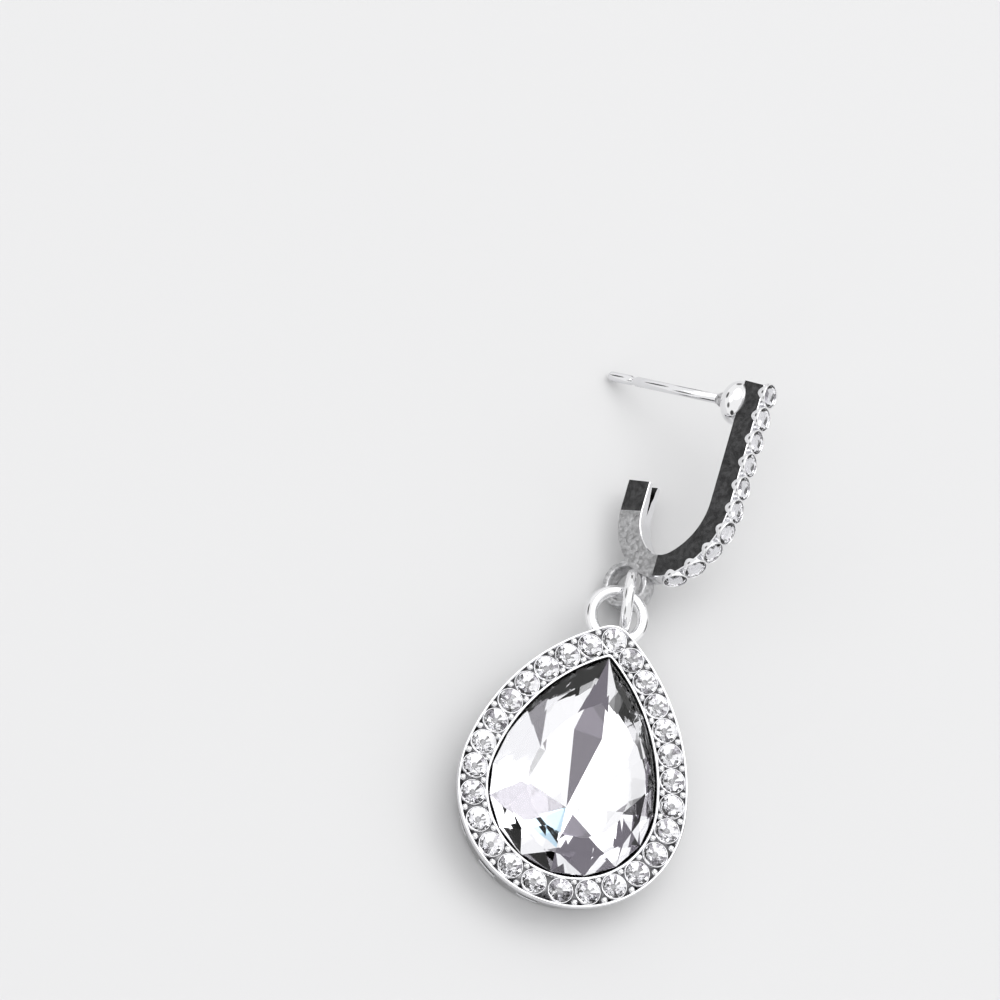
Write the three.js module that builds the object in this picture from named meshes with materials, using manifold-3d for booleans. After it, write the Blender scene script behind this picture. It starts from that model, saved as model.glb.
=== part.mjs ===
// Teardrop drop earring: a pear-shaped crystal in a halo of small round stones,
// hung by one jump ring from a J-shaped stone-set bar with a straight ear post.
// It lies on a flat surface. Lengths are in millimetres, angles in degrees, +Z is up.

import * as THREE from "three";
import { mergeVertices } from "three/addons/utils/BufferGeometryUtils.js";
import Module from "manifold-3d";

const wasm = await Module();
wasm.setup();

// Sizes of the pear frame. Its own frame has the flat back at z = 0 and the tip along +Y.
const PEAR_BOTTOM_R = 8.08;        // round lower end, to the row of small stones
const PEAR_SIDE_R = 17.25;         // long side curves
const PEAR_TIP_R = 0.6;            // tip curve
const PEAR_SIDE_START = 7.62;      // angle where the lower end turns into the side
const TIP_R_MIN = 0.3;             // smallest radius of an inner tip
const RIM_OUT = 1.25;              // outer rim, out from the stone row
const BACK_OUT = 0.3;              // outer edge of the back, out from the stone row
const INNER_IN = 1.25;             // inner wall of the halo, in from the stone row
const LEDGE_IN = 2.0;              // inner edge of the ledge that carries the centre stone
const RIM_WIDTH = 0.22;
const RIM_RISE = 0.12;             // rim above the floor between the stones
const HALO_TOP_Z = 3.5;            // metal face that the small stones are set in
const BACK_THICK = 0.45;
const SLOT_LENGTH = 1.7;           // shallow slots in the outer side wall
const SLOT_HEIGHT = 0.45;
const SLOT_DEPTH = 0.35;
const SLOT_Z = 1.7;
const SLOT_PITCH = 26;
const SLOT_FIRST = 212;
const SLOT_COUNT = 6;

// Small stones
const HALO_STONE_D = 1.9;
const HALO_PITCH = 2.085;          // from the tip down each side
const HALO_EVEN = 8;               // stones a side at that pitch, the rest share what is left
const HALO_SIDE_STONES = 13;
const HOOP_STONE_D = 1.78;
const SEAT_GAP = 0.06;             // room around a small stone in its cup
const STONE_SIDES = 10;
const BEAD_D = 0.54;               // grains between the stones
const BEAD_ACROSS = 0.84;          // from the row to the grains
// A round stone's section: share of its radius, share of its diameter above the girdle
const ROUND_CUT = [[0, -0.4], [1, -0.03], [1, 0.03], [0.58, 0.17], [0, 0.17]];

// Centre stone
const CENTER_GAP = 0.12;           // dark gap between the stone's edge and the halo's wall
const CENTER_GIRDLE_Z = 3.4;
const CENTER_EDGE = 0.16;          // height of the girdle
const CENTER_CROWN = 1.75;
const CENTER_PAVILION = 2.2;
const CENTER_FACETS = 16;
// Crown and pavilion rings of the centre stone: share of the outline kept, share of the height
const CROWN_RINGS = [[0.83, 0.62], [0.62, 1]];
const PAVILION_RINGS = [[0.52, 0.58]];
const CULET_Y = 0.0;

// Ring cast on the pear's tip
const TIP_RING_OUT = 2.6;          // its centre, past the top stone
const TIP_RING_Z = 1.9;
const TIP_RING_R = 2.13;
const TIP_RING_WIRE = 0.5;

// Sizes of the hoop. Its own frame has X across the bar, Y back along the post, Z up,
// and its origin at the table of the first stone.
const BAR_LEAN = 5.5;
const BAR_WIDTH = 1.8;
const BAR_DEPTH = 1.9;
const LEG_DEPTH = 2.0;             // deeper bar behind the bend
const BAR_TO_TABLE = 2.4;          // inner face to the stones' tables
const BAR_INNER_B = 2.45;          // inner face, back from the first stone
const BAR_TOP_S = 0.85;
const BAR_STRAIGHT_S = -9.55;      // where the straight front ends
// Bends of the inner face: radius, turn
const BENDS = [[5.6, 54], [1.75, 80], [4.4, 46]];
const LEG_STRAIGHT = 2.27;         // straight end of the rear leg
const NOTCH_LENGTH = 2.6;          // V groove in the rear leg's inner face
const NOTCH_WIDTH = 0.9;
const NOTCH_DEPTH = 0.6;
const HOOP_PITCH = 1.98;
const HOOP_STONES = 10;
const CUP_D = 2.06;
const CUP_BELOW = 0.85;            // cup's foot below its rim
const CUP_RIM = 0.22;              // table above the cup's rim

// Flattened ball, post and cast loop
const BALL_D = 3.6;
const BALL_THICK = 2.4;           // along the post
const BALL_Y = 2.95;
const BALL_Z = -1.12;
const COLLAR_D = 1.25;
const COLLAR_LENGTH = 0.9;
const POST_D = 0.8;
const POST_END_Y = 15.39;
const GROOVE_FROM_END = 2.45;
const GROOVE_LENGTH = 0.5;
const GROOVE_DEPTH = 0.1;
const LOOP_Y = 6.5;
const LOOP_Z = -17.8;
const LOOP_HOLE_R = 1.45;
const LOOP_OUT_R = 2.0;
const LOOP_THICK = 1.55;

// Jump ring
const JUMP_R = 2.45;
const JUMP_WIRE_R = 0.45;
const JUMP_LEAN = 14.8;            // axis above the surface
const JUMP_TURN = 5.66;
const JUMP_ASIDE = new THREE.Vector3(0.509, -0.122, -0.049);

// How the pieces lie
const PEAR_TILT = 4.291;           // tip propped up on the link
const HOOP_LAY = -75.64;
const HOOP_SWAY = 3.61;
const HOOP_TWIST = 47.41;
// Centre of the cast loop from the centre of the tip ring, along the surface
const LOOP_ASIDE = new THREE.Vector2(0.612, 3.748);

// How finely curves are cut
const OUTLINE_STEPS = 60;
const RING_STEPS = 24;
const WIRE_SIDES = 8;
const JUMP_STEPS = 32;
const JUMP_SIDES = 6;
const CUP_SIDES = 10;

const rad = THREE.MathUtils.degToRad;

function solid(geometry) {
  const bare = geometry.clone();
  bare.deleteAttribute("normal");
  bare.deleteAttribute("uv");
  const merged = mergeVertices(bare, 1e-4);
  const triVerts = new Uint32Array(merged.index.array);
  const vertProperties = new Float32Array(merged.attributes.position.array);
  return new wasm.Manifold(new wasm.Mesh({ numProp: 3, vertProperties, triVerts }));
}

function geometryOf(body) {
  const mesh = body.getMesh();
  const geometry = new THREE.BufferGeometry();
  geometry.setAttribute("position", new THREE.BufferAttribute(mesh.vertProperties, 3));
  geometry.setIndex(new THREE.BufferAttribute(mesh.triVerts, 1));
  geometry.computeVertexNormals();
  return geometry;
}

const silver = { color: 0xd9dadd, roughness: 0.12, metalness: 1 };
const crystal = { color: 0xf1f3f7, roughness: 0.03, metalness: 0.1 };

function piece(name, geometry, look) {
  const mesh = new THREE.Mesh(geometry, new THREE.MeshStandardMaterial(look));
  mesh.name = name;
  return mesh;
}

// Pear outline at a distance out from the stone row: tip, side, lower end, side.
// It starts at the tip and runs down the right side.
function pearOutline(out) {
  const start = rad(PEAR_SIDE_START);
  const reach = PEAR_SIDE_R - PEAR_BOTTOM_R;
  const cx = reach * Math.cos(start);
  const cy = -reach * Math.sin(start);
  const side = PEAR_SIDE_R + out;
  const tip = Math.max(PEAR_TIP_R + out, TIP_R_MIN);
  const rise = Math.sqrt((side - tip) ** 2 - cx ** 2);
  const join = Math.atan2(rise, cx);
  const path = new THREE.Shape();
  path.absarc(0, cy + rise, tip, Math.PI / 2, join, true);
  path.absarc(-cx, cy, side, join, start, true);
  path.absarc(0, 0, PEAR_BOTTOM_R + out, start, -Math.PI - start, true);
  path.absarc(cx, cy, side, Math.PI - start, Math.PI - join, true);
  path.absarc(0, cy + rise, tip, Math.PI - join, Math.PI / 2, true);
  return path;
}

// The outline as points that run counter-clockwise from the tip.
function pearPoints(out, count) {
  const points = pearOutline(out).getSpacedPoints(count).slice(0, count);
  return points.map((point) => new THREE.Vector2(-point.x, point.y));
}

// A closed section of [out, z] points carried round the pear outline.
function pearBand(section) {
  const turned = section.map(([out, z]) => new THREE.Vector2(PEAR_SIDE_R + out, z));
  const band = new THREE.LatheGeometry([...turned, turned[0]], OUTLINE_STEPS);
  const rings = [...section, section[0]].map(([out]) => pearPoints(out, OUTLINE_STEPS));
  const position = band.attributes.position;
  for (let i = 0; i < position.count; i++) {
    const step = Math.floor(i / rings.length) % OUTLINE_STEPS;
    const point = rings[i % rings.length][step];
    position.setXYZ(i, point.x, point.y, position.getY(i));
  }
  return solid(band);
}

function pearPlate(out, bottom, top) {
  const shape = new THREE.Shape(pearPoints(out, OUTLINE_STEPS));
  const plate = new THREE.ExtrudeGeometry(shape, { depth: top - bottom, bevelEnabled: false });
  return solid(plate.translate(0, 0, bottom));
}

// Point on the stone row, at a length down the side from the tip, moved out by a distance.
const row = pearOutline(0);
const rowLength = row.getLength();

function onRow(length, side, out) {
  const share = length / rowLength;
  const point = row.getPoint(share);
  const ahead = row.getPoint(share + 0.001);
  const behind = row.getPoint(share > 0.001 ? share - 0.001 : share);
  const along = ahead.sub(behind).normalize();
  if (length === 0) along.set(1, 0);
  point.add(new THREE.Vector2(-along.y, along.x).multiplyScalar(out));
  return new THREE.Vector2(side * point.x, point.y);
}

function haloLength(step) {
  const even = Math.min(step, HALO_EVEN) * HALO_PITCH;
  const rest = (rowLength / 2 - HALO_EVEN * HALO_PITCH) / (HALO_SIDE_STONES + 0.5 - HALO_EVEN);
  return even + Math.max(step - HALO_EVEN, 0) * rest;
}

// Round stone with its girdle at z = 0 and its table up.
function roundStone(diameter) {
  const profile = ROUND_CUT.map(([r, z]) => new THREE.Vector2(r * diameter / 2, z * diameter));
  return new THREE.LatheGeometry(profile, STONE_SIDES).rotateX(Math.PI / 2);
}

// Pocket for a round stone: its own section with a clearance, open at the top.
function pocket(diameter, height) {
  const r = diameter / 2 + SEAT_GAP;
  const deep = -ROUND_CUT[0][1] * diameter + 2 * SEAT_GAP;
  const profile = [[0, -deep], [r * 0.45, -deep], [r, -2 * SEAT_GAP], [r, height], [0, height]];
  const points = profile.map(([x, z]) => new THREE.Vector2(x, z));
  return new THREE.LatheGeometry(points, CUP_SIDES).rotateX(Math.PI / 2);
}

function wireRing(radius, wire, steps, sides) {
  return new THREE.TorusGeometry(radius, wire, sides, steps);
}

// Pear frame
function pearFrame() {
  const rimZ = HALO_TOP_Z + RIM_RISE;
  const seatZ = CENTER_GIRDLE_Z - CENTER_EDGE / 2 - CENTER_GAP;
  let body = pearBand([
    [BACK_OUT, 0],
    [RIM_OUT - 0.1, rimZ - 0.5],
    [RIM_OUT, rimZ - 0.35],
    [RIM_OUT, rimZ],
    [RIM_OUT - RIM_WIDTH, rimZ],
    [RIM_OUT - RIM_WIDTH, HALO_TOP_Z],
    [-INNER_IN, HALO_TOP_Z],
    [-INNER_IN, seatZ],
    [-LEDGE_IN, seatZ - (LEDGE_IN - INNER_IN) / 2],
    [-LEDGE_IN, 0],
  ]);
  body = body.add(pearPlate(-INNER_IN, 0, BACK_THICK));
  body = body.add(solid(wireRing(TIP_RING_R, TIP_RING_WIRE, RING_STEPS, WIRE_SIDES)
    .translate(0, tipRingY(), TIP_RING_Z)));
  const bead = new THREE.SphereGeometry(BEAD_D / 2, 6, 4).rotateX(Math.PI / 2);
  for (const side of [-1, 1]) {
    for (let step = 0; step < HALO_SIDE_STONES; step++) {
      const length = haloLength(step + 0.5);
      for (const out of [-BEAD_ACROSS, BEAD_ACROSS]) {
        const at = onRow(length, side, out);
        body = body.add(solid(bead.clone().translate(at.x, at.y, HALO_TOP_Z)));
      }
    }
  }
  for (const at of haloPlaces()) {
    const hole = pocket(HALO_STONE_D, BEAD_D).translate(at.x, at.y, HALO_TOP_Z);
    body = body.subtract(solid(hole));
  }
  for (let i = 0; i < SLOT_COUNT; i++) {
    const turn = rad(SLOT_FIRST + i * SLOT_PITCH);
    const cut = new THREE.BoxGeometry(2 * SLOT_DEPTH, SLOT_LENGTH, SLOT_HEIGHT);
    const wall = BACK_OUT + (RIM_OUT - BACK_OUT) * SLOT_Z / HALO_TOP_Z;
    cut.translate(PEAR_BOTTOM_R + wall, 0, SLOT_Z).rotateZ(turn);
    body = body.subtract(solid(cut));
  }
  return geometryOf(body);
}

function tipRingY() {
  return onRow(0, 1, 0).y + TIP_RING_OUT;
}

function haloPlaces() {
  const places = [onRow(0, 1, 0)];
  for (const side of [1, -1]) {
    for (let step = 1; step <= HALO_SIDE_STONES; step++) {
      places.push(onRow(haloLength(step), side, 0));
    }
  }
  return places;
}

// Centre stone: rings of flat facets from the culet up to the table.
function centerStone() {
  const edge = pearPoints(-INNER_IN - CENTER_GAP, CENTER_FACETS);
  const low = -CENTER_EDGE / 2;
  const levels = [
    [1e-4, low - CENTER_PAVILION],
    ...PAVILION_RINGS.map(([share, depth]) => [share, low - depth * CENTER_PAVILION]),
    [1, low],
    [1, -low],
    ...CROWN_RINGS.map(([share, height]) => [share, -low + height * CENTER_CROWN]),
    [1e-4, -low + CENTER_CROWN],
  ];
  const profile = levels.map(([share, z]) => new THREE.Vector2(share, z));
  profile[0].x = 0;
  profile[profile.length - 1].x = 0;
  const stone = new THREE.LatheGeometry(profile, CENTER_FACETS);
  const position = stone.attributes.position;
  for (let i = 0; i < position.count; i++) {
    const level = i % levels.length;
    const at = edge[Math.floor(i / levels.length) % CENTER_FACETS];
    const share = profile[level].x;
    position.setXYZ(i, at.x * share, CULET_Y + (at.y - CULET_Y) * share, levels[level][1]);
  }
  return geometryOf(solid(stone));
}

const pear = new THREE.Group();
pear.rotation.x = rad(PEAR_TILT);
pear.add(piece("pear_frame", pearFrame(), silver));

const center = piece("center_stone", centerStone(), crystal);
center.position.z = CENTER_GIRDLE_Z;
pear.add(center);

haloPlaces().forEach((at, i) => {
  const name = "halo_stone_" + String(i + 1).padStart(2, "0");
  const stone = piece(name, roundStone(HALO_STONE_D), crystal);
  stone.position.set(at.x, at.y, HALO_TOP_Z + 0.03 * HALO_STONE_D);
  pear.add(stone);
});

// Route of the bar: [b, s, heading] at steps along its inner face, moved out by a distance.
// s runs up the bar, b runs back from the front, the heading starts downwards.
function barRoute(out, fromS) {
  const points = [];
  let b = BAR_INNER_B;
  let s = BAR_STRAIGHT_S;
  let heading = -90;
  points.push([b - out, fromS, heading]);
  points.push([b - out, s, heading]);
  for (const [radius, turn] of BENDS) {
    const cb = b - radius * Math.sin(rad(heading));
    const cs = s + radius * Math.cos(rad(heading));
    const steps = Math.ceil(turn / 9);
    for (let i = 1; i <= steps; i++) {
      const h = rad(heading + turn * i / steps);
      const r = radius + out;
      points.push([cb + r * Math.sin(h), cs - r * Math.cos(h), heading + turn * i / steps]);
    }
    heading += turn;
    b = cb + radius * Math.sin(rad(heading));
    s = cs - radius * Math.cos(rad(heading));
  }
  const h = rad(heading);
  const end = [b + LEG_STRAIGHT * Math.cos(h), s + LEG_STRAIGHT * Math.sin(h)];
  points.push([end[0] + out * Math.sin(h), end[1] - out * Math.cos(h), heading]);
  return points;
}

// Turns a point of the bar's plane into the hoop's Y and Z.
function barToHoop(b, s) {
  const lean = rad(BAR_LEAN);
  return new THREE.Vector2(s * Math.sin(lean) + b * Math.cos(lean),
    s * Math.cos(lean) - b * Math.sin(lean));
}

// Flat plate of an outline in the hoop's Y-Z plane, centred across the bar.
function hoopPlate(points, width) {
  const shape = new THREE.Shape(points);
  const plate = new THREE.ExtrudeGeometry(shape, { depth: width, bevelEnabled: false });
  plate.translate(0, 0, -width / 2);
  const toHoop = new THREE.Matrix4().makeBasis(
    new THREE.Vector3(0, 1, 0), new THREE.Vector3(0, 0, 1), new THREE.Vector3(1, 0, 0));
  return solid(plate.applyMatrix4(toHoop));
}

function barOutline() {
  const inner = barRoute(0, BAR_TOP_S);
  const deep = barRoute(LEG_DEPTH, BAR_TOP_S);
  const thin = barRoute(BAR_DEPTH, BAR_TOP_S - 0.25);
  const half = BENDS[0][1] + BENDS[1][1] / 2 - 90;
  const outer = thin.map((point, i) => (point[2] > half ? deep[i] : point));
  return [...inner, ...outer.reverse()].map(([b, s]) => barToHoop(b, s));
}

// Places of the bar's stones along the curve of their tables: point and heading.
function hoopPlaces() {
  const places = [];
  for (let i = 0; i < HOOP_STONES; i++) {
    let left = i * HOOP_PITCH;
    let b = BAR_INNER_B;
    let s = 0;
    let heading = -90;
    const straight = -BAR_STRAIGHT_S;
    const run = Math.min(left, straight);
    s -= run;
    left -= run;
    for (const [radius, turn] of BENDS) {
      const wide = radius + BAR_TO_TABLE;
      const part = Math.min(left, wide * rad(turn));
      const cb = b - radius * Math.sin(rad(heading));
      const cs = s + radius * Math.cos(rad(heading));
      left -= part;
      heading += THREE.MathUtils.radToDeg(part / wide);
      b = cb + radius * Math.sin(rad(heading));
      s = cs - radius * Math.cos(rad(heading));
    }
    places.push({ b, s, heading });
  }
  return places;
}

// Places a geometry whose +Z is its outward side on the bar, at a distance from the inner face.
function onBar(place, out) {
  const h = rad(place.heading);
  const outward = new THREE.Vector2(Math.sin(h), -Math.cos(h));
  const at = barToHoop(place.b + outward.x * out, place.s + outward.y * out);
  const foot = barToHoop(place.b, place.s);
  const z = new THREE.Vector3(0, at.x - foot.x, at.y - foot.y).normalize();
  const x = new THREE.Vector3(1, 0, 0);
  const matrix = new THREE.Matrix4().makeBasis(x, new THREE.Vector3().crossVectors(z, x), z);
  return matrix.setPosition(0, at.x, at.y);
}

const stoneTable = ROUND_CUT[3][1] * HOOP_STONE_D;

function hoopBody() {
  let body = hoopPlate(barOutline(), BAR_WIDTH);
  const rim = BAR_TO_TABLE - CUP_RIM;
  for (const place of hoopPlaces()) {
    const cup = new THREE.CylinderGeometry(CUP_D / 2, CUP_D / 2, CUP_BELOW, CUP_SIDES);
    cup.rotateX(Math.PI / 2).translate(0, 0, -CUP_BELOW / 2);
    body = body.add(solid(cup.applyMatrix4(onBar(place, rim))));
  }
  for (const place of hoopPlaces()) {
    const hole = pocket(HOOP_STONE_D, 1).applyMatrix4(onBar(place, BAR_TO_TABLE - stoneTable));
    body = body.subtract(solid(hole));
  }

  // V groove down the inner face of the rear leg
  const route = barRoute(0, BAR_TOP_S);
  const [endB, endS, heading] = route[route.length - 1];
  const along = new THREE.Vector2(Math.cos(rad(heading)), Math.sin(rad(heading)));
  const groove = new THREE.Shape([
    new THREE.Vector2(-NOTCH_WIDTH / 2, 0.2),
    new THREE.Vector2(NOTCH_WIDTH / 2, 0.2),
    new THREE.Vector2(0, -NOTCH_LENGTH),
  ]);
  const wedge = new THREE.ExtrudeGeometry(groove, { depth: 2 * NOTCH_DEPTH, bevelEnabled: false });
  wedge.translate(0, 0, -NOTCH_DEPTH);
  const foot = barToHoop(endB, endS);
  const tip = barToHoop(endB + along.x, endS + along.y);
  const up = new THREE.Vector3(0, tip.x - foot.x, tip.y - foot.y).normalize();
  const across = new THREE.Vector3(1, 0, 0);
  const basis = new THREE.Matrix4().makeBasis(across, up, new THREE.Vector3().crossVectors(across, up));
  body = body.subtract(solid(wedge.applyMatrix4(basis.setPosition(0, foot.x, foot.y))));

  // Ball soldered to the bar's back, collar and post
  const ball = new THREE.SphereGeometry(BALL_D / 2, 14, 10);
  body = body.add(solid(ball.scale(1, BALL_THICK / BALL_D, 1).translate(0, BALL_Y, BALL_Z)));
  body = body.add(solid(postGeometry()));

  // Cast loop for the jump ring, with a web to the bar's outer edge
  const loop = new THREE.Shape();
  loop.absarc(0, 0, LOOP_OUT_R, 0, 2 * Math.PI, false);
  const eye = new THREE.ExtrudeGeometry(
    new THREE.Shape(loop.getSpacedPoints(RING_STEPS).slice(0, RING_STEPS)),
    { depth: LOOP_THICK, bevelEnabled: false });
  const toHoop = new THREE.Matrix4().makeBasis(
    new THREE.Vector3(0, 1, 0), new THREE.Vector3(0, 0, 1), new THREE.Vector3(1, 0, 0));
  eye.translate(0, 0, -LOOP_THICK / 2).applyMatrix4(toHoop).translate(0, LOOP_Y, LOOP_Z);
  body = body.add(solid(eye));
  const hole = new THREE.CylinderGeometry(LOOP_HOLE_R, LOOP_HOLE_R, 2 * LOOP_THICK, RING_STEPS);
  hole.rotateZ(Math.PI / 2).translate(0, LOOP_Y, LOOP_Z);
  return geometryOf(body.subtract(solid(hole)));
}

// Post along +Y with a rough collar at its root and a groove near its rounded end.
function postGeometry() {
  const r = POST_D / 2;
  const root = BALL_Y + BALL_THICK / 2 - 0.15;
  const groove = POST_END_Y - GROOVE_FROM_END;
  const profile = [
    [0, BALL_Y],
    [COLLAR_D / 2, BALL_Y],
    [COLLAR_D / 2, root + COLLAR_LENGTH * 0.7],
    [r, root + COLLAR_LENGTH],
    [r, groove - GROOVE_LENGTH / 2],
    [r - GROOVE_DEPTH, groove],
    [r, groove + GROOVE_LENGTH / 2],
    [r, POST_END_Y - r],
    [r * 0.7, POST_END_Y - r * 0.3],
    [0, POST_END_Y],
  ];
  const points = profile.map(([x, y]) => new THREE.Vector2(x, y));
  return new THREE.LatheGeometry(points, 12).translate(0, 0, BALL_Z);
}

const hoop = new THREE.Group();
hoop.rotation.set(rad(HOOP_LAY), rad(HOOP_SWAY), rad(HOOP_TWIST), "XYZ");
hoop.add(piece("hoop", hoopBody(), silver));
hoopPlaces().forEach((place, i) => {
  const name = "hoop_stone_" + String(i + 1).padStart(2, "0");
  const stone = piece(name, roundStone(HOOP_STONE_D), crystal);
  stone.applyMatrix4(onBar(place, BAR_TO_TABLE - stoneTable));
  hoop.add(stone);
});

// Everything comes to rest on the surface: the pear on its lower edge, the hoop on its loop.
function restOnSurface(group) {
  group.updateMatrixWorld(true);
  group.position.z -= new THREE.Box3().setFromObject(group, true).min.z;
  group.updateMatrixWorld(true);
}

restOnSurface(pear);
const tipRing = pear.localToWorld(new THREE.Vector3(0, tipRingY(), TIP_RING_Z));
restOnSurface(hoop);
const eyeNow = hoop.localToWorld(new THREE.Vector3(0, LOOP_Y, LOOP_Z));
hoop.position.x += tipRing.x + LOOP_ASIDE.x - eyeNow.x;
hoop.position.y += tipRing.y + LOOP_ASIDE.y - eyeNow.y;
hoop.updateMatrixWorld(true);
const eye = hoop.localToWorld(new THREE.Vector3(0, LOOP_Y, LOOP_Z));

const jumpRing = piece("jump_ring", wireRing(JUMP_R, JUMP_WIRE_R, JUMP_STEPS, JUMP_SIDES), silver);
jumpRing.position.copy(tipRing.clone().add(eye).multiplyScalar(0.5).add(JUMP_ASIDE));
jumpRing.rotation.set(0, rad(90 - JUMP_LEAN), rad(JUMP_TURN), "ZYX");

const earring = new THREE.Group();
earring.add(pear, hoop, jumpRing);

// Origin at the middle of the part's underside
earring.updateMatrixWorld(true);
const bounds = new THREE.Box3().setFromObject(earring, true);
const middle = bounds.getCenter(new THREE.Vector3());
earring.position.set(-middle.x, -middle.y, -bounds.min.z);
earring.updateMatrixWorld(true);

export default earring;
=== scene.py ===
"""Looks of the teardrop earring: polished metal, foiled clear stones, a pale surface and soft light."""
import math

import bpy
import numpy as np
from mathutils import Matrix, Vector


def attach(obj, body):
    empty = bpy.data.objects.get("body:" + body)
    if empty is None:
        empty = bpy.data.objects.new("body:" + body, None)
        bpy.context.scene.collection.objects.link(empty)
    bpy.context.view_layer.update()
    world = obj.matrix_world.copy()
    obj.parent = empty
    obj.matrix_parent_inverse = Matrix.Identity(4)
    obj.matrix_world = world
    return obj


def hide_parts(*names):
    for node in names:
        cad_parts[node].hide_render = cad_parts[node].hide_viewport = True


MM = 0.001
rad = math.radians

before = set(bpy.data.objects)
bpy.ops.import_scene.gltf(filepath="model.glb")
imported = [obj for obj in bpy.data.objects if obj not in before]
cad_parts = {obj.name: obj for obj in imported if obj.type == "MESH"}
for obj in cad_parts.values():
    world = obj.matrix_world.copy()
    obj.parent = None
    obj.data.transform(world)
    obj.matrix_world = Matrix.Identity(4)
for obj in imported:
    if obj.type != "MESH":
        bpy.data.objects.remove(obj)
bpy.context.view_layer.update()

# Sizes in millimetres and angles in degrees, as in the CAD model

# Where the two groups lie
SHIFT = Vector((0, -14.120314, 0.029137))
PEAR_LIFT, PEAR_TILT = 0.627009, 4.291
HOOP_AT, HOOP_TURN = Vector((6.508675, 35.322331, 10.525952)), (-75.64, 3.61, 47.41)
JUMP_AT, JUMP_YAW, JUMP_LEAN = Vector((0.815, 17.499555, 2.774651)), 5.66, 75.2

# Arcs of the pear's stone row: lower end, sides, tip, and the angle at which the sides begin
BOTTOM_R, SIDE_R, TIP_R, SIDE_FROM = 8.08, 17.25, 0.6, 7.62
LEAST_TIP_R = 0.3
ROW_STEPS = 7200          # points of the row that stones and grains are placed by
OUTLINE_STEPS = 320       # points round each outline of the frame

# Pear frame; "out" is a distance outwards from the stone row
TOP = 3.5                 # top of the metal between the stones
BACK_OUT, RIM_OUT = 0.3, 1.25
FLOOR_DROP = 0.3          # stone floor below the top
INNER_OUT, WELL_OUT = -1.25, -2.0
BACK_OUTLINE, BACK_THICK = -1.9, 0.45
SLOTS, SLOT_FROM, SLOT_EVERY, SLOT_Z = 6, 212, 26, 1.7
SLOT_HALF = (0.35, 0.85, 0.22)
TIP_RING_R, TIP_RING_WIRE, TIP_RING_OUT, TIP_RING_Z = 2.13, 0.5, 2.6, 1.9
GRAIN_R, GRAIN_OUT = 0.27, 0.84
CUP_SIDES = 40

# Halo stones: one at the tip and 13 down each side, of which the first eight are evenly spaced
SIDE_STONES, EVEN_STONES, EVEN_PITCH = 13, 8, 2.085
HALO_STONE_R, HALO_STONE_LIFT = 0.94, 0.057

# Centre stone
GIRDLE_Z, GIRDLE_HALF, STONE_OUT = 3.4, 0.08, -1.37
GIRDLE_POINTS, POINTS_BETWEEN = 18, 20
CROWN_Z, TABLE_Z, DEPTH = 1.1, 1.83, 2.3
CENTER_GAP, CULET_Y = 0.12, -0.9

# Bar of the hoop: B back from the stones, S up, headings from the bar's top to the rear end
BENDS = [(5.6, 54), (1.75, 80), (4.4, 46)]
BEND_STEP = 3
BAR_B, BAR_TOP_S, BAR_OUTER_TOP_S, BAR_STRAIGHT = 2.45, 0.85, 0.6, 9.55
BAR_HEADING, BAR_LEAN = -90.0, 5.5
LEG_RUN = 2.27
BAR_HALF_W, BAR_DEPTH, LEG_DEPTH, CHAMFER = 0.9, 1.9, 2.0, 0.06
LEG_HEADING = 4           # heading past which the deeper rear leg begins
CAST_HEADING = -2         # heading past which the metal is rough as cast
# the dark side faces are painted shade
LEG_END_ROWS = 9          # rows at the rear end whose sides are dark again
BAR_STONES, BAR_PITCH, BAR_TO_TABLE = 10, 1.98, 2.4
CUP_OUT = 2.18
BAR_STONE_R, BAR_STONE_OUT = 0.88, 2.097
NOTCH_HALF_DEPTH = 0.6

# Ball, post and cast loop of the hoop, and the jump ring
BALL_R, BALL_FLAT, BALL_Y, POST_Z = 1.8, 2.4 / 3.6, 2.95, -1.12
COLLAR_Y, POST_R, POST_END_Y, POST_GROOVE_Y = 4.0, 0.4, 15.39, 12.94
LOOP_Y, LOOP_Z, LOOP_STEPS = 6.5, -17.8, 72
JUMP_R, JUMP_WIRE, JUMP_FROM, JUMP_TO = 2.45, 0.45, 62.0, 420.6

# How unevenly the stones are set, in radians, and the share of pavilion faces with a painted dark reflection
STONE_SPIN, STONE_TILT, PAINTED_DARK_REFLECTION_SHARE = 0.8, 0.05, 0.14

PEAR_PLACE = Matrix.Translation(SHIFT + Vector((0, 0, PEAR_LIFT))) @ Matrix.Rotation(rad(PEAR_TILT), 4, "X")
HOOP_PLACE = Matrix.Translation(SHIFT + HOOP_AT)
for degrees, axis in zip(HOOP_TURN, "XYZ"):
    HOOP_PLACE = HOOP_PLACE @ Matrix.Rotation(rad(degrees), 4, axis)
JUMP_PLACE = (Matrix.Translation(SHIFT + JUMP_AT)
              @ Matrix.Rotation(rad(JUMP_YAW), 4, "Z") @ Matrix.Rotation(rad(JUMP_LEAN), 4, "Y"))


# Meshes

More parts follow.
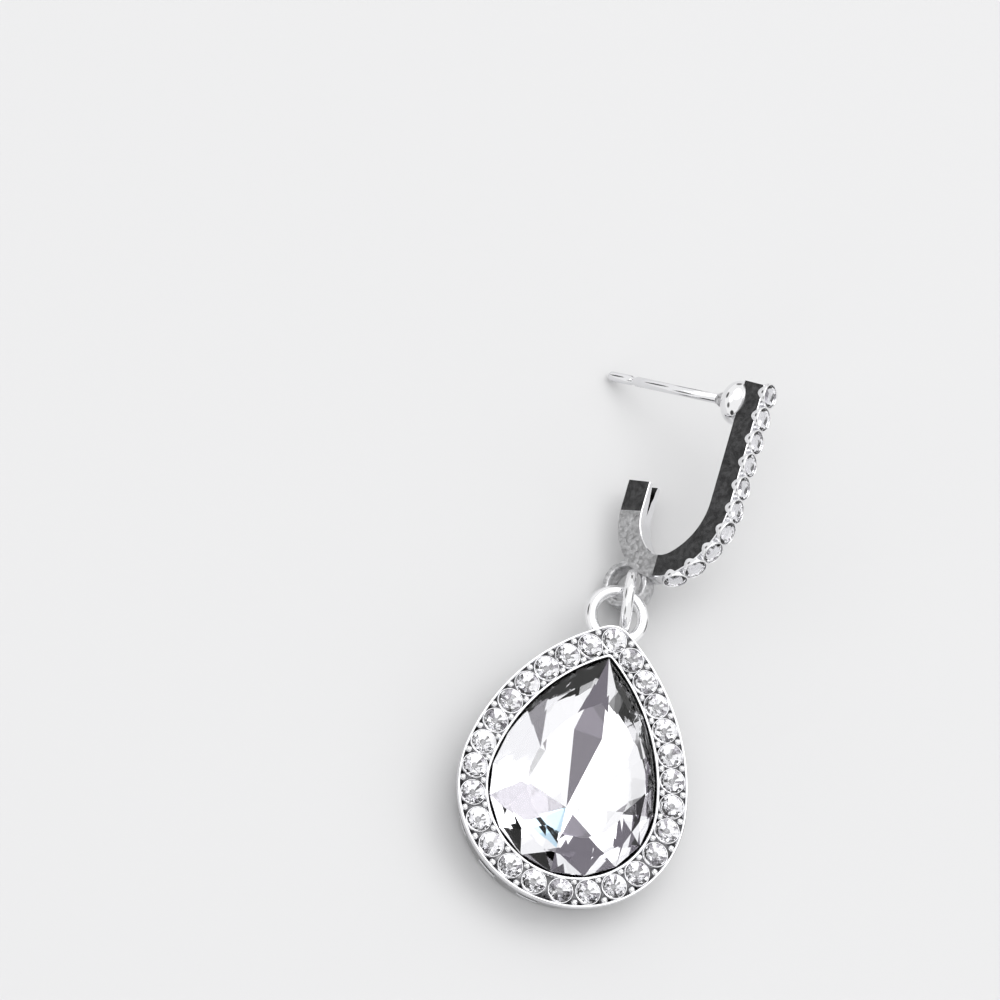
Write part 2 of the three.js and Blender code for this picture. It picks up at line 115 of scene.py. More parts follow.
class Shape:
    """Collects vertices and faces in millimetres, each face with a material number."""

    def __init__(self):
        self.verts, self.faces, self.mats, self.smooth = [], [], [], []

    def add(self, verts, faces, mat=0, smooth=True, place=None):
        """Adds faces with one material number for all of them or a list with one for each."""
        base = len(self.verts)
        for v in verts:
            v = Vector(v)
            self.verts.append(tuple(place @ v if place else v))
        for i, face in enumerate(faces):
            self.faces.append([base + k for k in face])
            self.mats.append(mat[i] if isinstance(mat, list) else mat)
            self.smooth.append(smooth)

    def make(self, name, place, materials, scale=MM):
        """The shape as an object in the scene."""
        mesh = bpy.data.meshes.new(name)
        points = [tuple((place @ Vector(v)) * scale) for v in self.verts]
        mesh.from_pydata(points, [], self.faces)
        for material in materials:
            mesh.materials.append(material)
        mesh.polygons.foreach_set("material_index", self.mats)
        mesh.polygons.foreach_set("use_smooth", self.smooth)
        mesh.update()
        piece = bpy.data.objects.new(name, mesh)
        bpy.context.scene.collection.objects.link(piece)
        return piece


def carve(shape, cutter, materials):
    """The shape with the cutter's closed solids taken out of it."""
    body = shape.make("body", Matrix(), materials, 1)
    tool = cutter.make("tool", Matrix(), materials, 1)
    cut = body.modifiers.new("cut", "BOOLEAN")
    cut.object = tool
    cut.solver = "EXACT"
    bpy.context.view_layer.update()
    carved = body.evaluated_get(bpy.context.evaluated_depsgraph_get())
    mesh = bpy.data.meshes.new_from_object(carved)
    result = Shape()
    result.verts = [tuple(v.co) for v in mesh.vertices]
    result.faces = [list(f.vertices) for f in mesh.polygons]
    result.mats = [f.material_index for f in mesh.polygons]
    result.smooth = [f.use_smooth for f in mesh.polygons]
    bpy.data.objects.remove(body)
    bpy.data.objects.remove(tool)
    bpy.data.meshes.remove(mesh)
    return result


def circle(radius, z, n, offset=0.0):
    """Ring of n points about Z, turned by a share of a step."""
    ts = [2 * math.pi * (i + offset) / n for i in range(n)]
    return [(radius * math.cos(t), radius * math.sin(t), z) for t in ts]


def grid(rings, closed=True):
    """Faces between rings of equal count; with closed the last ring joins the first."""
    n = len(rings[0])
    verts = [p for ring in rings for p in ring]
    faces = []
    for j in range(len(rings) if closed else len(rings) - 1):
        a, b = j * n, (j + 1) % len(rings) * n
        for i in range(n):
            faces.append((a + i, a + (i + 1) % n, b + (i + 1) % n, b + i))
    return verts, faces


def prism(outline, low, high):
    """Closed solid of an outline of [x, y] points between two heights; its last face is the upper one."""
    n = len(outline)
    verts, faces = grid([[(x, y, z) for x, y in outline] for z in (low, high)], closed=False)
    faces += [tuple(reversed(range(n))), tuple(range(n, 2 * n))]
    return verts, faces


def lathe(profile, steps):
    """Closed solid of [radius, z] points turned about Z; its ends lie on the axis."""
    rings = [circle(r, z, steps) for r, z in profile[1:-1]]
    verts, faces = grid(rings, closed=False)
    low, high = len(verts), len(verts) + 1
    verts += [(0, 0, profile[0][1]), (0, 0, profile[-1][1])]
    top = (len(rings) - 1) * steps
    for i in range(steps):
        k = (i + 1) % steps
        faces.append((low, k, i))
        faces.append((high, top + i, top + k))
    return verts, faces


def ring_tube(radius, wire, steps, sides, start=0.0, end=360.0):
    """Wire bent round Z from one angle to another; less than a whole turn has flat ends."""
    whole = end - start >= 359.99
    rings = []
    for i in range(steps if whole else steps + 1):
        t = rad(start + (end - start) * i / steps)
        ring = []
        for k in range(sides):
            a = 2 * math.pi * k / sides
            r = radius + wire * math.cos(a)
            ring.append((r * math.cos(t), r * math.sin(t), wire * math.sin(a)))
        rings.append(ring)
    verts, faces = grid(rings, closed=whole)
    if not whole:
        faces.append(tuple(range(sides)))
        faces.append(tuple(reversed(range(len(verts) - sides, len(verts)))))
    return verts, faces


def ball(radius, steps, rings):
    angles = [math.pi * (k / rings - 0.5) for k in range(rings + 1)]
    return lathe([(radius * math.cos(a), radius * math.sin(a)) for a in angles], steps)


# Materials

def nodes_of(material):
    material.use_nodes = True
    tree = material.node_tree
    return tree, tree.nodes["Principled BSDF"]


def add_bump(tree, shader, scale, strength, distance, detail=3.0):
    """Fine unevenness from noise in the piece's own space; gives the noise for other uses."""
    noise = tree.nodes.new("ShaderNodeTexNoise")
    noise.inputs["Scale"].default_value = scale
    noise.inputs["Detail"].default_value = detail
    place = tree.nodes.new("ShaderNodeTexCoord")
    bump = tree.nodes.new("ShaderNodeBump")
    bump.inputs["Strength"].default_value = strength
    bump.inputs["Distance"].default_value = distance
    tree.links.new(place.outputs["Object"], noise.inputs["Vector"])
    tree.links.new(noise.outputs["Fac"], bump.inputs["Height"])
    tree.links.new(bump.outputs["Normal"], shader.inputs["Normal"])
    return noise


def metal(name, color, roughness, scale, distance, speck=0.0):
    """Polished or cast plating: slightly uneven surface, and pits where speck is over 0."""
    material = bpy.data.materials.new(name)
    tree, shader = nodes_of(material)
    shader.inputs["Metallic"].default_value = 1.0
    noise = add_bump(tree, shader, scale, 0.6, distance)
    ramp = tree.nodes.new("ShaderNodeValToRGB")
    ramp.color_ramp.elements[0].position = 0.35
    ramp.color_ramp.elements[0].color = (*[c * (1 - speck) for c in color], 1)
    ramp.color_ramp.elements[1].position = 0.6
    ramp.color_ramp.elements[1].color = (*color, 1)
    tree.links.new(noise.outputs["Fac"], ramp.inputs["Fac"])
    tree.links.new(ramp.outputs["Color"], shader.inputs["Base Color"])
    rough = tree.nodes.new("ShaderNodeMapRange")
    rough.inputs["To Min"].default_value = roughness * 0.6
    rough.inputs["To Max"].default_value = roughness * 1.4
    tree.links.new(noise.outputs["Fac"], rough.inputs["Value"])
    tree.links.new(rough.outputs["Result"], shader.inputs["Roughness"])
    return material


METALS = [
    metal("silver", (0.80, 0.80, 0.815), 0.09, 900, 0.00003, 0.04),
    metal("polished", (0.86, 0.86, 0.87), 0.05, 500, 0.00002, 0.02),
    metal("cast", (0.62, 0.62, 0.63), 0.32, 2600, 0.00016, 0.35),
    # painted shade: a dark copy of the silver for the bar's polished side faces
    metal("painted_shade_side", (0.26, 0.26, 0.265), 0.22, 2400, 0.00003, 0.25),
    # painted shade: a dark copy of the silver for stone floors, wells, ledges and cup walls, where shade falls
    metal("painted_shade_seat", (0.2, 0.2, 0.205), 0.25, 2000, 0.00004, 0.2),
    # painted shade: near-black metal for the insides of the cut slots and groove
    metal("painted_shade_black", (0.03, 0.03, 0.03), 0.4, 2000, 0.00004, 0.2),
]
SILVER, POLISHED, CAST, PAINTED_SHADE_SIDE, PAINTED_SHADE_SEAT, PAINTED_SHADE_BLACK = range(6)


def crystal(name, ior):
    material = bpy.data.materials.new(name)
    tree, shader = nodes_of(material)
    shader.inputs["Base Color"].default_value = (0.985, 0.985, 1.0, 1)
    shader.inputs["Transmission Weight"].default_value = 1.0
    shader.inputs["IOR"].default_value = ior
    shader.inputs["Roughness"].default_value = 0.0
    add_bump(tree, shader, 350, 0.06, 0.00002, 1.0)
    return material


def foil(name, color):
    """Mirror backing behind a stone's pavilion faces; its darker and coloured copies stand for painted
    reflections.
    """
    material = bpy.data.materials.new(name)
    tree, shader = nodes_of(material)
    shader.inputs["Base Color"].default_value = (*color, 1)
    shader.inputs["Metallic"].default_value = 1.0
    shader.inputs["Roughness"].default_value = 0.02
    add_bump(tree, shader, 500, 0.1, 0.00002, 1.0)
    return material


STONE = [
    crystal("crystal", 1.46),
    foil("foil", (0.97, 0.97, 0.98)),
    # painted reflection: a dim foil for pavilion faces that mirror something dark
    foil("foil_painted_dark_reflection", (0.32, 0.31, 0.33)),
    # painted reflections: a dark violet and a pale blue foil for single facets of the centre stone
    foil("foil_painted_violet_reflection", (0.17, 0.155, 0.185)),
    foil("foil_painted_blue_reflection", (0.6, 0.8, 0.93)),
]
GLASS, FOIL, PAINTED_DARK_REFLECTION, PAINTED_VIOLET_REFLECTION, PAINTED_BLUE_REFLECTION = range(5)
SMALL_STONE = STONE[:3]


# Pear frame, in its own frame: flat back at z = 0, tip along +Y

def pear_outline(out, count):
    """Points of the outline at a distance out from the stone row, counter-clockwise from the tip."""
    start = rad(SIDE_FROM)
    reach = SIDE_R - BOTTOM_R
    cx, cy = reach * math.cos(start), -reach * math.sin(start)
    side, tip = SIDE_R + out, max(TIP_R + out, LEAST_TIP_R)
    rise = math.sqrt((side - tip) ** 2 - cx ** 2)
    join = math.atan2(rise, cx)
    arcs = [
        ((0, cy + rise), tip, math.pi / 2, math.pi - join),
        ((cx, cy), side, math.pi - join, math.pi - start),
        ((0, 0), BOTTOM_R + out, math.pi - start, 2 * math.pi + start),
        ((-cx, cy), side, start, join),
        ((0, cy + rise), tip, join, math.pi / 2),
    ]
    lengths = [r * (b - a) for _, r, a, b in arcs]
    total = sum(lengths)
    points = []
    for i in range(count):
        left = total * i / count
        for ((x, y), r, a, b), length in zip(arcs, lengths):
            if left <= length:
                t = a + left / r
                points.append((x + r * math.cos(t), y + r * math.sin(t)))
                break
            left -= length
    return points, total


ROW, ROW_LENGTH = pear_outline(0, ROW_STEPS)


def on_row(length, side, out):
    """Point at a length along the row from the tip, on either side, moved out by a distance."""
    i = int(round(length / ROW_LENGTH * ROW_STEPS))
    x, y = ROW[i % ROW_STEPS]
    ax, ay = ROW[(i + 3) % ROW_STEPS]
    bx, by = ROW[(i - 3) % ROW_STEPS]
    n = math.hypot(ax - bx, ay - by)
    x += out * (ay - by) / n
    y -= out * (ax - bx) / n
    return (-side * x, y)


def halo_length(step):
    """Length from the tip to a stone; past the evenly spaced ones the rest share what is left."""
    even = min(step, EVEN_STONES) * EVEN_PITCH
    rest = ROW_LENGTH / 2 - EVEN_STONES * EVEN_PITCH
    return even + max(step - EVEN_STONES, 0) * rest / (SIDE_STONES - EVEN_STONES + 0.5)


halo = [on_row(0, 1, 0)]
for side in (1, -1):
    for step in range(1, SIDE_STONES + 1):
        halo.append(on_row(halo_length(step), side, 0))


def band(section):
    """Closed ring of [out, z] points swept round the outline."""
    rings = []
    for out, z in section:
        points, _ = pear_outline(out, OUTLINE_STEPS)
        rings.append([(x, y, z) for x, y in points])
    return grid(rings)


def wall_slots():
    """Boxes that cut the shallow slots into the side wall of the lower end; their black faces leave the slots'
    insides in painted shade.
    """
    slots = Shape()
    depth, length, height = SLOT_HALF
    corners = [(x, y, z) for x in (-depth, depth) for y in (-length, length) for z in (-height, height)]
    sides = [(0, 1, 3, 2), (4, 6, 7, 5), (0, 4, 5, 1), (2, 3, 7, 6), (0, 2, 6, 4), (1, 5, 7, 3)]
    wall = BOTTOM_R + BACK_OUT + (RIM_OUT - BACK_OUT) * SLOT_Z / TOP
    for i in range(SLOTS):
        turn = Matrix.Rotation(rad(SLOT_FROM + SLOT_EVERY * i), 4, "Z")
        place = turn @ Matrix.Translation((wall, 0, SLOT_Z))
        slots.add(corners, sides, PAINTED_SHADE_BLACK, smooth=False, place=place)
    return slots


def pear_frame():
    """Rim, stone floor, well and back, with the tip's ring, the cups and the grains."""
    shape = Shape()
    seat = GIRDLE_Z - GIRDLE_HALF - CENTER_GAP
    floor_z = TOP - FLOOR_DROP
    section = [
        # drafted side wall and outer rim
        (BACK_OUT, 0.0), (0.36, 0.1), (1.1, 2.9), (1.16, 3.04), (1.235, 3.1), (RIM_OUT, 3.2), (RIM_OUT, 3.54),
        (1.225, 3.6), (1.15, 3.62), (1.07, 3.6), (1.035, 3.54), (1.03, floor_z),
        # stone floor and inner rim
        (-1.0, floor_z), (-1.02, TOP - 0.04), (-1.06, TOP + 0.02), (-1.2, TOP + 0.02), (INNER_OUT, TOP - 0.03),
        # ledge of the centre stone and the well under it
        (INNER_OUT, seat), (WELL_OUT, seat - 0.375), (WELL_OUT, 0.0),
    ]
    verts, faces = band(section)
    # the stone floor, the inner rim's wall, the ledge and the well get the painted shade
    shaded_rows = (11, 16, 17, 18)
    mats = [PAINTED_SHADE_SEAT if f // OUTLINE_STEPS in shaded_rows else SILVER for f in range(len(faces))]
    shape.add(verts, faces, mats)
    shape = carve(shape, wall_slots(), METALS)
    # closed back; its upper face, under the centre stone, gets the painted shade
    outline, _ = pear_outline(BACK_OUTLINE, OUTLINE_STEPS)
    verts, faces = prism(outline, 0.0, BACK_THICK)
    shape.add(verts, faces, [SILVER] * (len(faces) - 1) + [PAINTED_SHADE_SEAT], smooth=False)
    # cast ring on the tip
    verts, faces = ring_tube(TIP_RING_R, TIP_RING_WIRE, 96, 24)
    tip_ring = Matrix.Translation((0, halo[0][1] + TIP_RING_OUT, TIP_RING_Z))
    shape.add(verts, faces, POLISHED, place=tip_ring)
    # cups round the stones, their inner walls in painted shade
    cup = [(0.945, TOP - 0.9), (0.95, TOP), (0.975, TOP + 0.06), (1.01, TOP + 0.07), (1.04, TOP + 0.03),
           (1.05, TOP - 0.3)]
    verts, faces = grid([circle(r, z, CUP_SIDES) for r, z in cup])
    mats = [PAINTED_SHADE_SEAT if f < CUP_SIDES else SILVER for f in range(len(faces))]
    for x, y in halo:
        shape.add(verts, faces, mats, place=Matrix.Translation((x, y, 0)))
    # grains between the stones
    verts, faces = ball(GRAIN_R, 16, 10)
    for side in (-1, 1):
        for step in range(SIDE_STONES):
            for out in (-GRAIN_OUT, GRAIN_OUT):
                x, y = on_row(halo_length(step + 0.5), side, out)
                shape.add(verts, faces, POLISHED, place=Matrix.Translation((x, y, TOP)))
    return shape.make("frame_metal", PEAR_PLACE, METALS)


metal_frame = pear_frame()


# Stones

def gem_round(r, dice):
    """Round brilliant: sixteen pavilion faces and girdle sides, stars and kites, eight-sided table."""
    d = 2 * r
    verts = [(0, 0, -0.25 * d)]
    verts += circle(r, -0.03 * d, 16)
    verts += circle(r, 0.03 * d, 16)
    verts += circle(r * 0.8, 0.10 * d, 8, 0.5)
    verts += circle(r * 0.55, 0.17 * d, 8)
    faces, mats = [], []
    for i in range(16):
        faces.append((0, 1 + (i + 1) % 16, 1 + i))
        # a random share of pavilion faces gets the painted dark reflection
        mats.append(PAINTED_DARK_REFLECTION if dice.random() < PAINTED_DARK_REFLECTION_SHARE else FOIL)
        faces.append((1 + i, 1 + (i + 1) % 16, 17 + (i + 1) % 16, 17 + i))
        mats.append(GLASS)
    for i in range(8):
        kite, table, next_table = 33 + i, 41 + i, 41 + (i + 1) % 8
        g0, g1, g2 = 17 + 2 * i, 17 + (2 * i + 1) % 16, 17 + (2 * i + 2) % 16
        faces += [(g0, g1, kite), (g1, g2, kite), (kite, next_table, table),
                  (g0, kite, table), (g2, next_table, kite)]
        mats += [GLASS] * 5
    faces.append(tuple(range(41, 49)))
    mats.append(GLASS)
    shape = Shape()
    shape.add(verts, faces, mats, smooth=False)
    return shape


def center_stone():
    """Pear cut: large table, two rows of crown facets, girdle, and nine broad pavilion kites."""
    n = GIRDLE_POINTS
    points, _ = pear_outline(STONE_OUT, n * POINTS_BETWEEN)

    def ring(share, z, shift=0.0, base=0.0, step=1):
        """The outline drawn in to a share of its size towards a point on Y."""
        picked = [points[int(round((i + shift) * POINTS_BETWEEN)) % len(points)] for i in range(0, n, step)]
        return [(x * share, base + (y - base) * share, z) for x, y in picked]

    low, high, deep = GIRDLE_Z - GIRDLE_HALF, GIRDLE_Z + GIRDLE_HALF, GIRDLE_Z - DEPTH
    verts = ring(1.0, low) + ring(1.0, high)
    verts += ring(0.84, GIRDLE_Z + CROWN_Z, 0.5) + ring(0.62, GIRDLE_Z + TABLE_Z)
    middle = len(verts)
    verts += ring(0.56, deep + 0.53 * (low - deep), 1.0, CULET_Y, 2)
    culet = len(verts)
    verts.append((0, CULET_Y, deep))
    faces, mats = [], []
    for i in range(n):
        k = (i + 1) % n
        faces += [(i, k, n + k, n + i)]
        faces += [(n + i, n + k, 2 * n + i), (n + k, 2 * n + k, 2 * n + i)]
        faces += [(2 * n + i, 2 * n + k, 3 * n + k), (2 * n + i, 3 * n + k, 3 * n + i)]
        mats += [GLASS] * 5
    # pavilion: each kite with the two faces between it and the girdle; chosen faces get painted dark, violet
    # and blue reflections
    kite_foil = {8: PAINTED_VIOLET_REFLECTION, 2: PAINTED_DARK_REFLECTION, 3: PAINTED_BLUE_REFLECTION}
    for i in range(n // 2):
        m0, m1 = middle + i, middle + (i + 1) % (n // 2)
        g0, g1, g2 = 2 * i, 2 * i + 1, (2 * i + 2) % n
        kite = kite_foil.get(i, FOIL)
        faces += [(culet, m1, m0), (m0, m1, g2)]
        mats += [kite, FOIL if kite == PAINTED_BLUE_REFLECTION else kite]
        faces += [(m0, g1, g0), (m0, g2, g1)]
        mats += [PAINTED_DARK_REFLECTION if i in (1, 4) else FOIL, PAINTED_DARK_REFLECTION if i == 6 else FOIL]
    faces.append(tuple(range(3 * n, 4 * n)))
    mats.append(GLASS)
    shape = Shape()
    shape.add(verts, faces, mats, smooth=False)
    return shape.make("centre", PEAR_PLACE, STONE)


pear_stone = center_stone()
rng = np.random.default_rng(7)
halo_pieces = []
for i, (x, y) in enumerate(halo):
    turn = Matrix.Rotation(rng.uniform(0, STONE_SPIN), 4, "Z")
    tilt_x = Matrix.Rotation(rng.normal(0, STONE_TILT), 4, "X")
    tilt_y = Matrix.Rotation(rng.normal(0, STONE_TILT), 4, "Y")
    place = PEAR_PLACE @ Matrix.Translation((x, y, TOP + HALO_STONE_LIFT)) @ tilt_x @ tilt_y @ turn
    halo_pieces.append(gem_round(HALO_STONE_R, rng).make(f"halo_{i + 1:02d}", place, SMALL_STONE))


# Hoop, in its own frame: X across the bar, Y back along the post, Z up

def bend_centre(b, s, heading, radius):
    return b - radius * math.sin(rad(heading)), s + radius * math.cos(rad(heading))


def bend_point(cb, cs, heading, radius):
    return cb + radius * math.sin(rad(heading)), cs - radius * math.cos(rad(heading))


def bar_route(out, from_s):
    """Inner face of the bar moved out by a distance: (b, s, heading) from the top to the rear end."""
    b, s, heading = BAR_B, -BAR_STRAIGHT, BAR_HEADING
    points = [(b - out, from_s + (s - from_s) * i / 12, heading) for i in range(13)]
    for radius, turn in BENDS:
        cb, cs = bend_centre(b, s, heading, radius)
        steps = math.ceil(turn / BEND_STEP)
        for i in range(1, steps + 1):
            h = heading + turn * i / steps
            points.append((*bend_point(cb, cs, h, radius + out), h))
        heading += turn
        b, s = bend_point(cb, cs, heading, radius)
    h = rad(heading)
    for i in range(1, 7):
        run = LEG_RUN * i / 6
        along_b, along_s = b + run * math.cos(h), s + run * math.sin(h)
        points.append((along_b + out * math.sin(h), along_s - out * math.cos(h), heading))
    return points


def bar_to_hoop(b, s):
    lean = rad(BAR_LEAN)
    return s * math.sin(lean) + b * math.cos(lean), s * math.cos(lean) - b * math.sin(lean)


def hoop_places():
    """(b, s, heading) on the inner face behind each stone, evenly spaced along the tables."""
    places = []
    for i in range(BAR_STONES):
        left, b, heading = i * BAR_PITCH, BAR_B, BAR_HEADING
        run = min(left, BAR_STRAIGHT)
        s, left = -run, left - run
        for radius, turn in BENDS:
            wide = radius + BAR_TO_TABLE
            part = min(left, wide * rad(turn))
            cb, cs = bend_centre(b, s, heading, radius)
            left -= part
            heading += math.degrees(part / wide)
            b, s = bend_point(cb, cs, heading, radius)
        places.append((b, s, heading))
    return places


def on_bar(place, out):
    """Frame at a distance out from the bar's inner face, with Z pointing outwards."""
    b, s, heading = place
    h = rad(heading)
    y, z = bar_to_hoop(b + out * math.sin(h), s - out * math.cos(h))
    y0, z0 = bar_to_hoop(b, s)
    up = Vector((0, y - y0, z - z0)).normalized()
    x = Vector((1, 0, 0))
    m = Matrix((x, up.cross(x), up)).transposed().to_4x4()
    m.translation = Vector((0, y, z))
    return m


def bar_shape():
    """The bar as a closed strip with chamfered edges, and the groove cut into its rear leg."""
    inner = bar_route(0, BAR_TOP_S)
    thin = bar_route(BAR_DEPTH, BAR_OUTER_TOP_S)
    deep = bar_route(LEG_DEPTH, BAR_OUTER_TOP_S)
    outer = [deep[i] if p[2] > LEG_HEADING else p for i, p in enumerate(thin)]
    # section across the bar: x, which face (0 inner, 1 outer) and the step away from it
    w, c = BAR_HALF_W, CHAMFER
    across = [(-w + c, 0, 0), (w - c, 0, 0), (w, 0, c), (w, 1, -c),
              (w - c, 1, 0), (-w + c, 1, 0), (-w, 1, -c), (-w, 0, c)]
    rings = []
    for (ib, is_, _), (ob, os_, _) in zip(inner, outer):
        depth = math.hypot(ob - ib, os_ - is_)
        ring = []
        for x, face, step in across:
            share = face + step / depth
            y, z = bar_to_hoop(ib + (ob - ib) * share, is_ + (os_ - is_) * share)
            ring.append((x, y, z))
        rings.append(ring)
    verts, faces = grid(rings, closed=False)
    mats = []
    for f in range(len(faces)):
        row, k = divmod(f, 8)
        rough = inner[row][2] > CAST_HEADING
        at_end = row > len(inner) - LEG_END_ROWS
        # side faces: rough cast metal along the cast part, elsewhere painted shade
        if k in (2, 6):
            mats.append(CAST if rough and not at_end else PAINTED_SHADE_SIDE)
        else:
            mats.append(CAST if rough and k in (3, 4, 5) else SILVER)
    faces += [tuple(range(8)), tuple(reversed(range(len(verts) - 8, len(verts))))]
    mats += [SILVER, SILVER]
    shape = Shape()
    shape.add(verts, faces, mats, smooth=False)
    return carve(shape, groove(), METALS)


def groove():
    """Wedge that cuts the V groove down the inner face of the rear leg; its black faces leave the groove's
    inside in painted shade.
    """
    b, s, heading = bar_route(0, BAR_TOP_S)[-1]
    h = rad(heading)
    y0, z0 = bar_to_hoop(b, s)
    y1, z1 = bar_to_hoop(b + math.cos(h), s + math.sin(h))
    up = Vector((0, y1 - y0, z1 - z0)).normalized()
    x = Vector((1, 0, 0))
    m = Matrix((x, up, x.cross(up))).transposed().to_4x4()
    m.translation = Vector((0, y0, z0))
    edge = [(-0.45, 0.2), (-0.45, 0.0), (-0.36, -0.5), (-0.27, -1.1), (-0.2, -1.3), (-0.12, -2.0),
            (0.0, -2.6), (0.1, -2.0), (0.14, -1.4), (0.3, -1.0), (0.33, -0.5), (0.45, 0.0), (0.45, 0.2)]
    wedge = Shape()
    verts, faces = prism(edge, -NOTCH_HALF_DEPTH, NOTCH_HALF_DEPTH)
    wedge.add(verts, faces, PAINTED_SHADE_BLACK, smooth=False, place=m)
    return wedge


def hoop_metal():
    """Bar, cups, ball, collar, post and cast loop."""
    shape = bar_shape()
    # cups with a bright rim, their inner walls in painted shade
    cup = [(0.88, -0.8), (0.9, -0.02), (0.93, 0.03), (0.99, 0.03), (1.03, -0.03), (1.03, -0.3), (0.88, -0.75)]
    row_mats = [PAINTED_SHADE_SEAT] + [POLISHED] * 3 + [SILVER] * 3
    verts, faces = grid([circle(r, z, CUP_SIDES) for r, z in cup])
    mats = [row_mats[f // CUP_SIDES] for f in range(len(faces))]
    for place in hoop_places():
        shape.add(verts, faces, mats, place=on_bar(place, CUP_OUT))
    # flattened ball
    verts, faces = ball(BALL_R, 64, 32)
    flat = Matrix.Translation((0, BALL_Y, POST_Z)) @ Matrix.Diagonal((1, BALL_FLAT, 1, 1))
    shape.add(verts, faces, POLISHED, place=flat)
    # rough solder collar, and the post with the groove near its end
    along = Matrix.Translation((0, 0, POST_Z)) @ Matrix.Rotation(rad(-90), 4, "X")
    root, groove_y, end = COLLAR_Y, POST_GROOVE_Y, POST_END_Y
    collar = [(0, root - 0.7), (0.6, root - 0.7), (0.62, root + 0.1), (0.5, root + 0.3), (0.6, root + 0.45),
              (0.55, root + 0.62), (0.42, root + 0.85), (0, root + 0.86)]
    verts, faces = lathe(collar, 32)
    shape.add(verts, faces, CAST, place=along)
    post = [(0, root), (POST_R, root), (POST_R, groove_y - 0.28), (0.37, groove_y - 0.22),
            (0.31, groove_y - 0.08), (0.3, groove_y), (0.31, groove_y + 0.08), (0.37, groove_y + 0.22),
            (POST_R, groove_y + 0.28), (POST_R, end - 0.32), (0.36, end - 0.16), (0.25, end - 0.05), (0, end)]
    verts, faces = lathe(post, 32)
    shape.add(verts, faces, SILVER, place=along)
    # cast loop
    section = [(1.45, -0.6), (1.5, -0.72), (1.6, -0.775), (1.88, -0.775), (1.97, -0.72), (2.0, -0.6),
               (2.0, 0.6), (1.97, 0.72), (1.88, 0.775), (1.6, 0.775), (1.5, 0.72), (1.45, 0.6)]
    rings = []
    for i in range(LOOP_STEPS):
        t = 2 * math.pi * i / LOOP_STEPS
        rings.append([(x, LOOP_Y + r * math.cos(t), LOOP_Z + r * math.sin(t)) for r, x in section])
    verts, faces = grid(rings)
    shape.add(verts, faces, CAST)
    return shape.make("hoop_metal", HOOP_PLACE, METALS)


hoop_piece = hoop_metal()
bar_stones = []
for i, place in enumerate(hoop_places()):
    m = HOOP_PLACE @ on_bar(place, BAR_STONE_OUT) @ Matrix.Rotation(rng.uniform(0, STONE_SPIN), 4, "Z")
    bar_stones.append(gem_round(BAR_STONE_R, rng).make(f"bar_{i + 1:02d}", m, SMALL_STONE))

# Jump ring with its seam: the wire's ends stop just short of each other
jump = Shape()
verts, faces = ring_tube(JUMP_R, JUMP_WIRE, 120, 24, JUMP_FROM, JUMP_TO)
jump.add(verts, faces, 0)
link = jump.make("link", JUMP_PLACE, [METALS[POLISHED]])

for piece, node, slot in (
    [(metal_frame, "pear_frame", "silver"), (hoop_piece, "hoop", "silver"), (link, "jump_ring", "silver"),
     (pear_stone, "center_stone", "crystal")]
    + [(p, f"halo_stone_{i + 1:02d}", "crystal") for i, p in enumerate(halo_pieces)]
    + [(p, f"hoop_stone_{i + 1:02d}", "crystal") for i, p in enumerate(bar_stones)]
):
    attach(piece, "root")
    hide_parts(node)

# Surface

mesh = bpy.data.meshes.new("surface")
mesh.from_pydata([(-1, -1, 0), (1, -1, 0), (1, 1, 0), (-1, 1, 0)], [], [(0, 1, 2, 3)])
floor = bpy.data.objects.new("surface", mesh)
bpy.context.scene.collection.objects.link(floor)
paper = bpy.data.materials.new("paper")
tree, shader = nodes_of(paper)
shader.inputs["Base Color"].default_value = (0.645, 0.645, 0.65, 1)
shader.inputs["Roughness"].default_value = 0.85
add_bump(tree, shader, 3000, 0.05, 0.00001)
mesh.materials.append(paper)

# Light: a bright dome with dark and brighter patches that the polished faces mirror

world = bpy.data.worlds.new("dome")
bpy.context.scene.world = world
world.use_nodes = True
tree = world.node_tree
sky = tree.nodes["Background"]
coord = tree.nodes.new("ShaderNodeTexCoord")


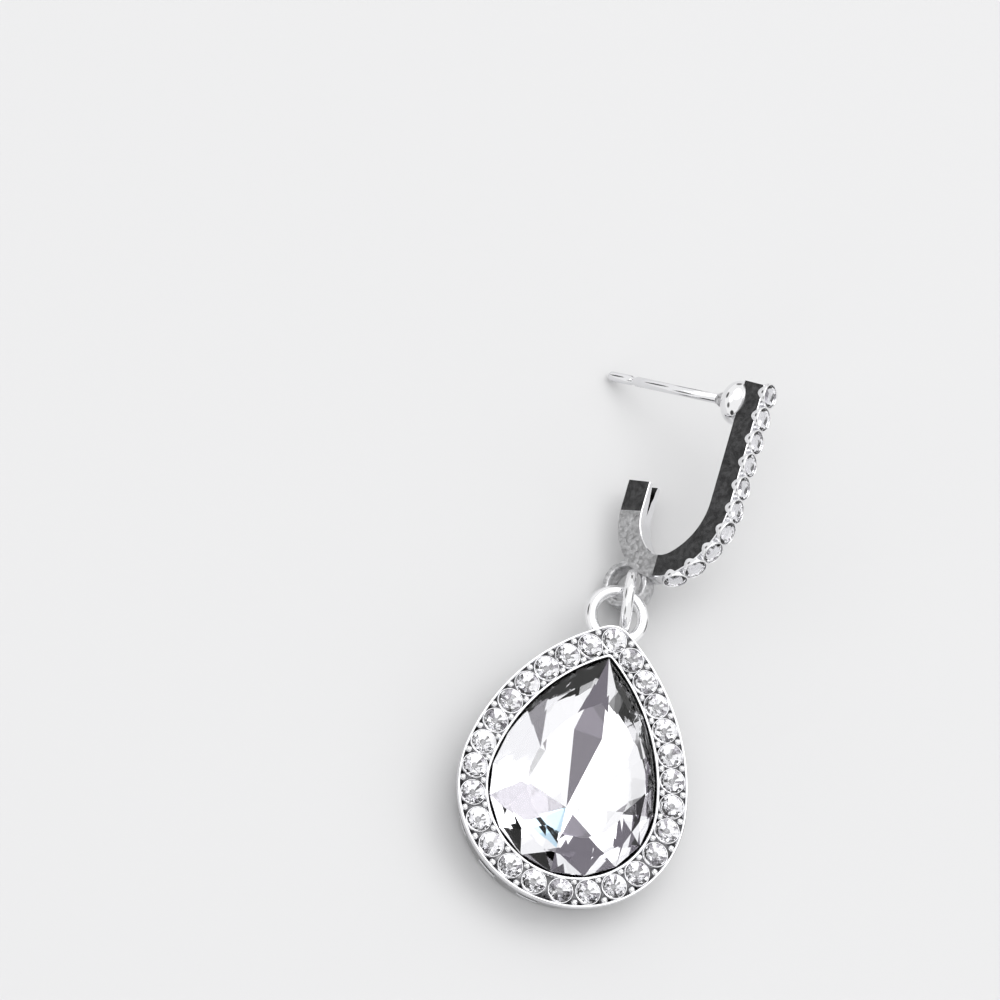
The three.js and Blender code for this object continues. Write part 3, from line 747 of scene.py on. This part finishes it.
def patch(direction, degrees, soft, times, before):
    """Multiplies the light before it by times inside a cone round a direction."""
    dot = tree.nodes.new("ShaderNodeVectorMath")
    dot.operation = "DOT_PRODUCT"
    dot.inputs[1].default_value = Vector(direction).normalized()
    tree.links.new(coord.outputs["Generated"], dot.inputs[0])
    step = tree.nodes.new("ShaderNodeMapRange")
    step.interpolation_type = "SMOOTHSTEP"
    step.inputs["From Min"].default_value = math.cos(rad(degrees + soft))
    step.inputs["From Max"].default_value = math.cos(rad(max(degrees - soft, 0)))
    step.inputs["To Min"].default_value = 1.0
    step.inputs["To Max"].default_value = times
    tree.links.new(dot.outputs["Value"], step.inputs["Value"])
    product = tree.nodes.new("ShaderNodeMath")
    product.operation = "MULTIPLY"
    product.inputs[1].default_value = 1.0
    tree.links.new(step.outputs["Result"], product.inputs[0])
    if before is not None:
        tree.links.new(before, product.inputs[1])
    return product.outputs["Value"]


# direction, half angle, softness of its edge, and what the light is multiplied by
PATCHES = [
    ((-0.935, 0.212, 0.284), 13, 4, 0.12),
    ((0.2, -0.95, 0.25), 13, 3, 0.06),
    ((0.9, 0.3, 0.2), 12, 3, 0.08),
    ((-0.5, -0.6, 0.45), 12, 5, 0.15),
    ((0.0, 1.0, 0.12), 12, 4, 0.2),
    ((0.15, 0.30, 0.94), 26, 6, 2.2),
    ((-0.4, -0.2, 0.9), 16, 4, 1.8),
]
strength = None
for direction, degrees, soft, times in PATCHES:
    strength = patch(direction, degrees, soft, times, strength)
tree.links.new(strength, sky.inputs["Strength"])
sky.inputs["Color"].default_value = (1.02, 1.02, 1.02, 1)

KEY_AT = Vector((0.12, 0.22, 0.45))
lamp = bpy.data.lights.new("key", "AREA")
lamp.shape = "SQUARE"
lamp.size = 0.35
lamp.energy = 0.25
key = bpy.data.objects.new("key", lamp)
key.location = KEY_AT
key.rotation_euler = (-KEY_AT).to_track_quat("-Z", "Y").to_euler()
bpy.context.scene.collection.objects.link(key)

# Camera at the photograph's angle

bpy.context.scene.view_settings.view_transform = "Standard"

RIGHT = Vector((0.93277, 0.22953, 0.27797))
UP = Vector((-0.3253, 0.86822, 0.37466))
BACK = Vector((-0.15534, -0.43989, 0.88451))
AIM = Vector((-10.81328, 9.84933, 0.0)) * MM
DISTANCE, SENSOR = 0.9, 36.0
PHOTO_WIDTH = 1000 / 12.577 * MM     # pixels across, by pixels to a millimetre
lens = bpy.data.cameras.new("camera")
lens.sensor_width = SENSOR
lens.lens = SENSOR * DISTANCE / PHOTO_WIDTH
lens.clip_start = 0.01
lens.clip_end = 20.0
camera = bpy.data.objects.new("camera", lens)
turned = Matrix((RIGHT, UP, BACK)).transposed().to_4x4()
turned.translation = AIM + BACK * DISTANCE
camera.matrix_world = turned
bpy.context.scene.collection.objects.link(camera)
bpy.context.scene.camera = camera

bpy.context.view_layer.update()
